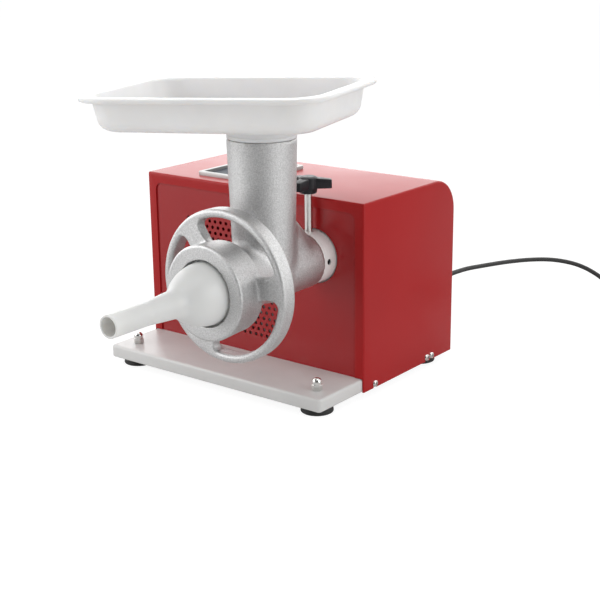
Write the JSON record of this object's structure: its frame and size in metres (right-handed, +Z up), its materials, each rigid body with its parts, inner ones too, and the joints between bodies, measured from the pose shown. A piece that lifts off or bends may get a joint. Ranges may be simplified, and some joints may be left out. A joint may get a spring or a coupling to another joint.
{
  "type": "electric meat grinder",
  "caption": "Tabletop electric meat grinder: boxy sheet-metal drive on a plastic board, clamped cast grinder head with ring nut, stuffing funnel and feed tray.",
  "frame": {"origin": "on the table, under the middle of the object without its cord", "axes": "+Z up, the funnel and ring nut face -Y, the cord leaves towards +Y, the feed tube stands at +X"},
  "size_m": [0.5486, 0.7258, 0.3236],
  "materials": {
    "red_enamel": "gloss",
    "white_plastic": "gloss",
    "cast_metal": "cast, grainy",
    "black_rubber": "matte",
    "black_plastic": "satin",
    "button_red": "gloss",
    "bright_steel": "polished",
    "steel": "brushed",
    "grey_face": "satin",
    "gearbox_alloy": "cast",
    "bronze": "machined",
    "copper_wire": "varnished",
    "seal_rubber": "matte"
  },
  "bodies": {
    "base": {"base_plate": "white_plastic", "rubber_feet": "black_rubber", "foot_bolts": "steel", "foot_dome_nuts": "bright_steel", "casing_cover": "red_enamel", "casing_screws": "bright_steel", "front_panel": "red_enamel", "panel_angle": "steel", "switch_bezel": "bright_steel", "switch_face": "grey_face", "switch_housing": "black_plastic", "button_socket": "black_plastic", "output_collar": "cast_metal", "collar_screws": "steel", "grub_screw": "steel", "gearbox_housing": "gearbox_alloy", "gearbox_cover": "gearbox_alloy", "cover_bolts": "steel", "pedestal_bolts": "steel", "output_bearings": "steel", "oil_seal": "seal_rubber", "intermediate_bushes": "bronze", "motor_front_shield": "gearbox_alloy", "motor_rear_shield": "gearbox_alloy", "motor_stator": "steel", "motor_windings": "copper_wire", "motor_through_bolts": "steel", "motor_bearings": "steel", "motor_cradle": "black_plastic", "run_capacitor": "gearbox_alloy", "capacitor_clip": "black_plastic", "terminal_block": "black_plastic", "cord_gland": "black_rubber", "power_cord": "black_rubber", "cord_coil": "black_rubber", "cord_tie": "black_plastic", "mains_plug": "black_rubber", "plug_pins": "bright_steel"},
    "motor": {"rotor_core": "steel", "motor_shaft": "steel", "motor_pinion": "steel", "cooling_fan": "black_plastic"},
    "intermediate": {"intermediate_shaft": "steel", "intermediate_gear": "steel", "intermediate_pinion": "steel"},
    "output": {"output_shaft": "steel", "output_gear": "steel"},
    "grinder": {"grinder_body": "cast_metal", "thrust_washer": "steel", "grinding_plate": "steel"},
    "auger": {"feed_screw": "steel", "knife": "steel"},
    "funnel": {"stuffing_funnel": "white_plastic"},
    "nut": {"ring_nut": "cast_metal"},
    "clamp": {"clamp_stud": "bright_steel"},
    "knob": {"clamp_knob": "black_plastic"},
    "tray": {"feed_tray": "white_plastic", "tray_collar": "white_plastic"},
    "rocker": {"switch_rocker": "black_plastic"},
    "button": {"reset_button": "button_red"}
  },
  "joints": [
    {"name": "motor_spin", "type": "hinge", "parent": "base", "child": "motor", "pos_m": [-0.04735, 0.135, 0.10104], "axis": [0, 1, 0], "continuous": true},
    {"name": "intermediate_spin", "type": "hinge", "parent": "base", "child": "intermediate", "pos_m": [0.00456, 0.099, 0.11495], "axis": [0, 1, 0], "continuous": true},
    {"name": "output_spin", "type": "hinge", "parent": "base", "child": "output", "pos_m": [0.06257, 0.084, 0.142], "axis": [0, 1, 0], "continuous": true},
    {"name": "grinder_slide", "type": "slide", "parent": "base", "child": "grinder", "axis": [0, -1, 0], "range_m": [0, 0.04]},
    {"name": "auger_spin", "type": "hinge", "parent": "grinder", "child": "auger", "pos_m": [0.06257, -0.02, 0.142], "axis": [0, 1, 0], "continuous": true},
    {"name": "funnel_slide", "type": "slide", "parent": "grinder", "child": "funnel", "axis": [0, -1, 0], "range_m": [0, 0.018]},
    {"name": "nut_turn", "type": "hinge", "parent": "funnel", "child": "nut", "pos_m": [0.06257, -0.075, 0.142], "axis": [0, -1, 0], "range_deg": [0, 1080]},
    {"name": "clamp_slide", "type": "slide", "parent": "base", "child": "clamp", "axis": [0, 0, 1], "range_m": [0, 0.006]},
    {"name": "knob_turn", "type": "hinge", "parent": "clamp", "child": "knob", "pos_m": [0.06257, 0.0505, 0.208], "axis": [0, 0, 1], "range_deg": [0, 1728]},
    {"name": "tray_turn", "type": "hinge", "parent": "grinder", "child": "tray", "pos_m": [0.06257, -0.02, 0.273], "axis": [0, 0, 1], "continuous": true},
    {"name": "switch_rock", "type": "hinge", "parent": "base", "child": "rocker", "pos_m": [-0.05643, 0.138, 0.204], "axis": [1, 0, 0], "range_deg": [-8, 8]},
    {"name": "button_press", "type": "slide", "parent": "base", "child": "button", "axis": [0, 0, -1], "range_m": [0, 0.0025], "stiffness_N_per_m": 400}
  ],
  "couplings": [
    {"joint": "intermediate_spin", "follows": "motor_spin", "ratio": -0.19444},
    {"joint": "output_spin", "follows": "motor_spin", "ratio": 0.054444},
    {"joint": "auger_spin", "follows": "motor_spin", "ratio": 0.054444},
    {"joint": "nut_turn", "follows": "funnel_slide", "rad_per_m": 1047.2},
    {"joint": "knob_turn", "follows": "clamp_slide", "rad_per_m": 5026.5}
  ]
}
